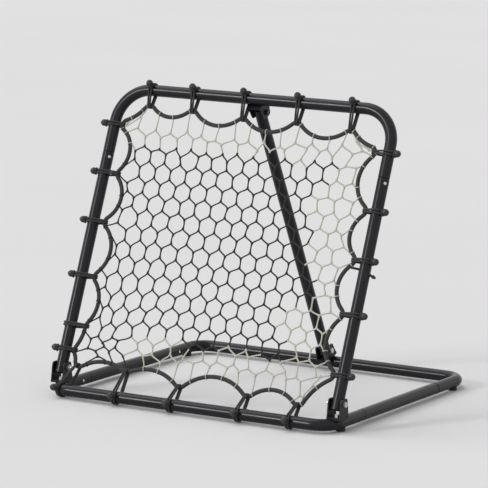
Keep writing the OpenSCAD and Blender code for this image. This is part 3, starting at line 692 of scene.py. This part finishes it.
# Crossings more than 7 mm in from the cord's line stay. A strand to one further out ends on
# the cord
held = inside(drawn, cord_points + rim_depth * cord_in)
kept = strands[held[strands].any(1)]
whole = held[kept].all(1)
print(int(held.sum()), "free crossings,", int((~whole).sum()), "strands that end on the cord")

# %% Where the outer strands meet the cord
end_depth = 0.0046  # a strand ends just inside the cord's own surface
cut = kept[~whole]
inner = np.where(held[cut[:, 0]], cut[:, 0], cut[:, 1])
outer = np.where(held[cut[:, 0]], cut[:, 1], cut[:, 0])
away = np.linalg.norm(drawn[outer][:, None] - cord_points, axis=2).argmin(1)
ends = cord_points[away] + end_depth * cord_in[away]

# The kept crossings get new numbers, and the ends on the cord follow after them
number = np.full(len(drawn), -1)
number[held] = np.arange(held.sum())
points_2d = np.concatenate([drawn[held], ends])
first = np.concatenate([number[kept[whole, 0]], number[inner]])
second = np.concatenate([number[kept[whole, 1]], held.sum() + np.arange(len(ends))])

# %% Let the net find its balance
# The pull for each metre of length is 1, and up to 1.8 in strands that start out short
free = int(held.sum())
full_length = cell[1] * 2 / 3
rest = np.linalg.norm(points_2d[first] - points_2d[second], axis=1)
pull = np.clip(full_length / rest, 1.0, 1.8)

# Where two strands run together they pull harder and so are shorter. A pull of
# (1 - 2 * share) / share leaves them twice that share of a row, less on the left of the net
upright = (np.abs(points_2d[first, 0] - points_2d[second, 0]) < 0.3 * rest) & (second < free)
joint_share = 0.275 + 0.03 * np.clip(points_2d[first, 0] / 0.3, -1, 1)
pull = pull * np.where(upright, (1 - 2 * joint_share) / joint_share, 1.0)
balance = np.zeros((len(points_2d), len(points_2d)))
np.add.at(balance, (first, second), -pull)
np.add.at(balance, (second, first), -pull)
balance[np.diag_indices(len(balance))] = -balance.sum(1)
settled = points_2d.copy()
settled[:free] = np.linalg.solve(balance[:free, :free], -balance[:free, free:] @ points_2d[free:])
shifts = np.linalg.norm(settled - points_2d, axis=1)
print("crossings moved by up to", round(float(shifts.max()) * 1000, 1), "mm")


# %% Unevenness, more of it where the net is tied out, and the pull of the corner tie
def ramp(distance, width):
    """0 below no distance, 1 past the width, and straight between."""
    return np.clip(distance / width, 0, 1)


inner_across, inner_up = settled[:free].T
near_bars = np.maximum(inner_up - 0.61, 0.19 - inner_up)
slack = 0.0010 + 0.0028 * ramp(near_bars, 0.05)
slack = slack + 0.0016 * ramp(inner_across - 0.20, 0.05)
settled[:free] += rng.normal(0, 1, (free, 2)) * slack[:, None]

# The corner tie draws the netting round it up to 30 % of the way to its own corner
crossing_room = 0.010
edge = np.linalg.norm(settled[:free, None] - cord_points, axis=2).min(1)
to_corner = np.array([-0.345, 0.085]) - settled[:free]
closeness = np.exp(-((np.linalg.norm(to_corner, axis=1) / 0.15) ** 2))
drawn_in = 0.30 * closeness * ramp(edge - crossing_room, 0.030)
settled[:free] += drawn_in[:, None] * to_corner

# %% Keep the crossings off the cord, and let the middle belly back
beside = np.linalg.norm(settled[:free, None] - cord_points, axis=2).argmin(1)
depth = ((settled[:free] - cord_points[beside]) * cord_in[beside]).sum(1)
settled[:free] += np.maximum(crossing_room - depth, 0)[:, None] * cord_in[beside]
print("crossings moved clear of the cord:", int((depth < crossing_room).sum()))
edge = np.linalg.norm(settled[:, None] - cord_points, axis=2).min(1)
belly = -0.007 * ramp(edge, 0.30) ** 0.8
belly[:free] += rng.normal(0, 0.0007, free)
belly[free:] = 0
net_points = on_plane(settled[:, 0], settled[:, 1], belly)


# %% Where the netting is pale
def pale_twine_at(across, up):
    """1 where the netting is of pale twine: along the top, along the foot right of its first
    tie, and in patches down the right, whose edges wander on slow waves."""
    wave = 0.5 * np.sin(37 * across + 21 * up + 1.0) + 0.5 * np.sin(26 * across - 43 * up)
    high = (up - 0.648) / 0.03 + 0.3 * wave
    low = np.minimum((0.150 - up) / 0.03, (across + 0.21) / 0.03) + 0.3 * wave
    far_right = (across - 0.235) / 0.06 + 0.9 * wave
    return (np.maximum(np.maximum(high, low), far_right) > 0).astype(float)


middle = (settled[first] + settled[second]) / 2
pale = pale_twine_at(middle[:, 0], middle[:, 1])
print("strands of pale twine:", int(pale.sum()), "of", len(pale))

# %% Strands: each bows a little to a random side
twine_radius, twine_sides, flare_length = 0.0019, 6, 0.0045

# `t` is the part of the way along a strand
t = np.array([0, 0.10, 0.24, 0.5, 0.76, 0.90, 1.0])[:, None]
start = net_points[first]
run = net_points[second] - start
bow_side = np.cross(run, plane_out)
bow_side /= np.linalg.norm(bow_side, axis=1, keepdims=True)
bow_across = rng.normal(0, 0.0006, (len(first), 1)) * bow_side
bow_out = rng.normal(0, 0.0006, (len(first), 1)) * plane_out
path = start[:, None] + run[:, None] * t + (bow_across + bow_out)[:, None] * np.sin(np.pi * t)

# The yarns part slowly from the joint that they share, so a sloping strand is a weak S:
# steeper at both ends, flatter in its middle
off_cord = second < free
rise = (run @ plane_up)[:, None] * plane_up
curl = np.where(off_cord, 0.25, 0.0)[:, None, None]
path = path + curl * (2 * rise - run)[:, None] * np.sin(2 * np.pi * t) / (2 * np.pi)

# Towards a crossing a strand thickens, and its twist starts at a random place
distance = np.linalg.norm(run, axis=1)[:, None]
flare = np.exp(-distance * t[:, 0] / flare_length)
flare = flare + np.exp(-distance * (1 - t[:, 0]) / flare_length) * off_cord[:, None]
strand_radius = twine_radius * (1 + 0.6 * flare)
strand_shape = carried_circle(path, strand_radius, twine_sides, plane_out, flat=0.85)
strand_shape["tone"] = np.repeat(pale, len(t) * twine_sides)
corners_each = (len(t) - 1) * twine_sides * 4
strand_shape["uv"][:, 0] += np.repeat(rng.random(len(first)) * 0.005, corners_each)

# %% Crossings, where the strands are braided through each other
crossing_radius, crossing_half_height, crossing_sides = 0.0031, 0.0046, 8
angle = np.linspace(0, np.pi, 7)
height = crossing_half_height * np.cos(angle)
crossing_profile = np.stack([crossing_radius * np.sin(angle), height], 1)
axes = np.broadcast_to(plane_up, (free, 3))
crossing_shape = turned_profile(net_points[:free], axes, crossing_profile, crossing_sides)

# Each is as pale or dark as most of the strands that meet there
shared = np.zeros(free)
touching = np.zeros(free)
np.add.at(shared, first, pale)
np.add.at(touching, first, 1)
np.add.at(shared, second[off_cord], pale[off_cord])
np.add.at(touching, second[off_cord], 1)
crossing_pale = np.round(shared / np.maximum(touching, 1))
on_rings = np.repeat(crossing_pale, (len(angle) - 2) * crossing_sides)
crossing_shape["tone"] = np.concatenate([on_rings, np.repeat(crossing_pale, 2)])

# %% Loops of twine round the cord
loop_points, loop_sides, loop_radius, loop_lift = 12, 5, 0.0013, 0.0006
loop_centre = on_plane(cord_points[away, 0], cord_points[away, 1])
along_cord = step[away] / np.linalg.norm(step[away], axis=1, keepdims=True)
loop_along = on_plane(*along_cord.T) - plane_foot
loop_in = on_plane(*cord_in[away].T) - plane_foot
around = np.linspace(0, 2 * np.pi, loop_points, endpoint=False)[:, None]
ring = (cord_width / 2 + loop_lift) * np.cos(around) * loop_in[:, None]
ring = ring + (cord_thickness / 2 + loop_lift) * np.sin(around) * plane_out
loop_path = loop_centre[:, None] + ring
loop_across = loop_along[:, None]
loop_shape = carried_circle(loop_path, loop_radius, loop_sides, loop_across, closed=True)
loop_shape["tone"] = np.repeat(pale[whole.sum() :], loop_points * loop_sides)
net_shapes = [strand_shape, crossing_shape, loop_shape]
new_piece("net_strands", net_shapes, twine.material, "net_frame", ["net"])

# %% [markdown]
# ## Ball ties
#
# A ball tie is a loop of thin elastic with a plastic ball on it. It goes round the tube and
# round the border cord and hooks over its ball, so two strands run side by side from tube to
# cord. Each strand is a belt over two wheels of different size: the tube and the cord. The
# belt's straight runs touch both wheels at the angle whose cosine is the difference of the
# radii over the distance between them.


# %% One strand as a belt over two wheels
def belts(origin, to_cord, along_bar, reach, ball_angle, loop=0.0078):
    """Round the tube from `turn` to 360 - `turn`, straight to the cord, round it from -`turn`
    to `turn`, and straight back. The two strands are apart by the gap, narrow at the cord."""
    wheel = bar_radius + elastic_radius
    up = np.cross(along_bar, to_cord)
    turn = np.arccos((wheel - loop) / reach)[:, None]
    tube_angle = turn + (2 * np.pi - 2 * turn) * np.linspace(0, 1, 28)
    loop_angle = -turn + 2 * turn * np.linspace(0, 1, 11)
    on_tube = wheel * np.stack([np.cos(tube_angle), np.sin(tube_angle)], -1)
    on_loop = loop * np.stack([np.cos(loop_angle), np.sin(loop_angle)], -1)
    on_loop[..., 0] += reach[:, None]
    share = np.linspace(0, 1, 8)[1:-1, None]
    out_run = on_tube[:, -1:] * (1 - share) + on_loop[:, :1] * share
    back_run = on_loop[:, -1:] * (1 - share) + on_tube[:, :1] * share
    flat = np.concatenate([on_tube, out_run, on_loop, back_run], 1)

    # Half the gap: 2.8 mm round the tube and 0.9 mm more under the ball, and 2.6 mm at the cord
    near = 0.0028 + 0.0009 * (1 + np.cos(tube_angle - ball_angle[:, None])) / 2
    far = np.full(on_loop.shape[:2], 0.0026)
    out_gap = near[:, -1:] * (1 - share[:, 0]) + far[:, :1] * share[:, 0]
    back_gap = far[:, -1:] * (1 - share[:, 0]) + near[:, :1] * share[:, 0]
    gap = np.concatenate([near, out_gap, far, back_gap], 1)
    belt = origin[:, None] + flat[..., :1] * to_cord[:, None] + flat[..., 1:] * up[:, None]
    apart = gap[..., None] * along_bar[:, None]
    both = (belt - apart, belt + apart)
    shapes = [carried_circle(line, elastic_radius, 8, along_bar[:, None], closed=True) for line in both]
    ball_way = np.cos(ball_angle)[:, None] * to_cord + np.sin(ball_angle)[:, None] * up
    return shapes, ball_way


# %% A ball: a turned profile with the hole that its elastic comes out of
ball_radius = 0.009
ball_height = 0.028652  # from the tube's centre line, where it rests between its two strands
arc = np.linspace(np.arcsin(0.30), np.pi, 15)
hole = [[0.0, 0.0058], [0.0018, 0.0058], [0.0021, 0.0064], [0.0022, 0.0078]]
ball_profile = np.concatenate([hole, ball_radius * np.stack([np.sin(arc), np.cos(arc)], 1)])
ball_profile[-1] = [0.0, -ball_radius]

# The knot of elastic that shows in the hole
plug_arc = np.linspace(0, np.pi, 7)
plug_profile = np.stack([0.0028 * np.sin(plug_arc), 0.0080 + 0.0022 * np.cos(plug_arc)], 1)
plug_profile[[0, -1], 0] = 0.0


def ball_row(name, origin, ways, along_bar, body, node):
    """Balls on their ties, the knot of elastic in each ball's hole, and the end loop that is
    hooked over the ball and grips its neck: point = neck + (8 mm * cos a) along the bar +
    (6.6 mm * sin a) across it."""
    centre = origin + ball_height * ways
    balls = turned_profile(centre, ways, ball_profile, 20)
    new_piece(f"{name}_plastic", [balls], plastic.material, body, [node])
    angle = np.linspace(0, 2 * np.pi, 20, endpoint=False)[:, None]
    neck = (origin + (bar_radius + 2 * elastic_radius + 0.0016) * ways)[:, None]
    across_bar = np.cross(ways, along_bar)[:, None]
    hook = neck + 0.0080 * np.cos(angle) * along_bar[:, None] + 0.0066 * np.sin(angle) * across_bar
    hook_shape = carried_circle(hook, 0.0023, 8, ways[:, None], closed=True)
    knots = turned_profile(centre, ways, plug_profile, 10)
    new_piece(f"{name}_loops", [knots, hook_shape], elastic_finish, body)


# %% Ties and balls of the leaning frame
x_axis = np.array([1.0, 0.0, 0.0])
on_top = on_plane(top_ties[:, 0], frame_length)
on_left = on_plane(-half_width, left_ties[:, 0])
on_right = on_plane(half_width, right_ties[:, 0])

# Each row: tube side, way to the cord, way along the bar, usual reach, ties, and each ball's
# place round the tube in degrees. The second ball on the left is on the back
rows_of_ties = {
    "top": (on_top, -plane_up, x_axis, top_reach, top_ties, [-115] * 5),
    "left": (on_left, x_axis, plane_up, side_reach, left_ties, [-165, 122] + [-165] * 4),
    "right": (on_right, -x_axis, -plane_up, side_reach, right_ties, [-165] * 5),
}
for name, (origin, to_cord, along_bar, usual_reach, ties, ball_turn) in rows_of_ties.items():
    to_cord = np.broadcast_to(to_cord, origin.shape)
    along_bar = np.broadcast_to(along_bar, origin.shape)
    shapes, ways = belts(origin, to_cord, along_bar, usual_reach + ties[:, 1], np.radians(ball_turn))
    new_piece(f"ties_{name}_elastic", shapes, elastic_finish, "net_frame", [f"ties_{name}"])
    ball_row(f"balls_{name}", origin, ways, along_bar, "net_frame", f"balls_{name}")

# %% [markdown]
# ## Ties of the front bar
#
# These cross the hinge: their tube belongs to the base and their cord to the net frame. They
# could ride on one of the two and come loose from the other. Here the elastic rides on
# neither and stays where it is made, and the balls ride on the base.

# %% Place of the four front ties and of the corner tie
front_up = net_bottom + front_ties[:, 1]
way = np.stack([foot_back + front_up * np.sin(lean), front_up * np.cos(lean)], 1)
front_reach = np.linalg.norm(way, axis=1)
front_rise = np.arctan2(way[:, 1], way[:, 0])
front_origin = np.stack([front_ties[:, 0], np.full(4, -middle_back), np.full(4, ring_height)], 1)
front_to = np.stack([np.zeros(4), np.cos(front_rise), np.sin(front_rise)], 1)

corner_run = (corner_back - corner_bar[1]) / np.cos(corner_turn)
corner_rise = np.arctan2(corner_up * np.cos(lean), corner_run)
corner_origin = [corner_bar[0], corner_bar[1] - middle_back, ring_height]
corner_to = [*(np.cos(corner_rise) * corner_way), np.sin(corner_rise)]
corner_along = [corner_way[1], -corner_way[0], 0.0]

# %% Ties and balls of the front bar
origin = np.concatenate([front_origin, [corner_origin]])
to_cord = np.concatenate([front_to, [corner_to]])
along_bar = np.concatenate([np.tile(x_axis, (4, 1)), [corner_along]])
reach = np.append(front_reach, np.hypot(corner_run, corner_up * np.cos(lean)))

# The balls stand out in front, 17 degrees above level
ball_turn = np.radians(180 - 17) - np.append(front_rise, corner_rise)
shapes, ways = belts(origin, to_cord, along_bar, reach, ball_turn)
front_elastic = new_piece("ties_front_elastic", shapes, elastic_finish, None, ["ties_front"])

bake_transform(front_elastic)
ball_row("balls_front", origin, ways, along_bar, "base", "balls_front")

# %% [markdown]
# ## Floor and light
#
# The studio is a wide pale floor under an even white sky, with one soft lamp high on the left
# for form and shadow and a narrower one in front for the long highlights on the tubes. The
# lamps and the sky together light a level surface nearly as strongly as its own colour says,
# so colours come out about as they are written.

# %% Floor
floor_coat = Coat("floor_paper", Roughness=0.9, Specular_IOR_Level=0.1)
cloud = floor_coat.noise(0.8, 2.0, 0.5)
floor_coat.feed(Base_Color=floor_coat.shades(cloud, (0.80, 0.80, 0.80), (0.84, 0.84, 0.84)))
floor_reach, floor_lines, floor_height = 60, 9, -0.0002  # just under the feet
lines = np.linspace(-floor_reach, floor_reach, floor_lines)
u, v = (g.ravel() for g in np.meshgrid(lines, lines, indexing="ij"))
floor_points = np.stack([u, v, np.full(len(u), floor_height)], 1)
k = np.arange(len(u)).reshape(floor_lines, floor_lines)
floor_faces = np.stack([k[:-1, :-1], k[1:, :-1], k[1:, 1:], k[:-1, 1:]], -1).reshape(-1, 4)
floor_mesh = bpy.data.meshes.new("floor")
floor_mesh.from_pydata(floor_points.tolist(), [], floor_faces.tolist())
floor_mesh.materials.append(floor_coat.material)
floor = bpy.data.objects.new("floor", floor_mesh)
bpy.context.scene.collection.objects.link(floor)

# %% Sky
world = bpy.data.worlds.new("studio")
bpy.context.scene.world = world
world.use_nodes = True
sky, links = world.node_tree.nodes, world.node_tree.links
rays = sky.new("ShaderNodeLightPath")
seen = rays.outputs["Is Camera Ray"]
for kind in ("Is Glossy Ray", "Is Transmission Ray"):
    more = sky.new("ShaderNodeMath")
    more.operation = "MAXIMUM"
    links.new(seen, more.inputs[0])
    links.new(rays.outputs[kind], more.inputs[1])
    seen = more.outputs[0]
background = sky["Background"]
brightness = sky.new("ShaderNodeMapRange")
brightness.inputs["To Min"].default_value = 0.50  # for the light on the object
brightness.inputs["To Max"].default_value = 1.0  # for the white behind it
links.new(seen, brightness.inputs["Value"])
links.new(brightness.outputs["Result"], background.inputs["Strength"])
background.inputs["Color"].default_value = (1, 1, 1, 1)


# %% Lamps
def far_lamp(name, strength, width, towards):
    """A lamp so far off that its light is parallel; `width` is how wide it looks, in degrees."""
    data = bpy.data.lights.new(name, "SUN")
    data.energy = strength
    data.angle = np.radians(width)
    lamp = bpy.data.objects.new(name, data)
    lamp_z = np.array(towards) / np.linalg.norm(towards)
    lamp_x = np.cross([0, 0, 1.0], lamp_z)
    lamp_x /= np.linalg.norm(lamp_x)
    turned = np.eye(4)
    turned[:3, :3] = np.stack([lamp_x, np.cross(lamp_z, lamp_x), lamp_z], 1)
    lamp.matrix_world = Matrix(turned)
    bpy.context.scene.collection.objects.link(lamp)
    print(name, "shines from", lamp_z.round(2))


far_lamp("high_lamp", 0.9, 45.0, (-0.50, 0.02, 0.86))
far_lamp("front_lamp", 1.3, 12.0, (-0.50, -0.78, 0.36))
bpy.context.scene.view_settings.view_transform = "Standard"
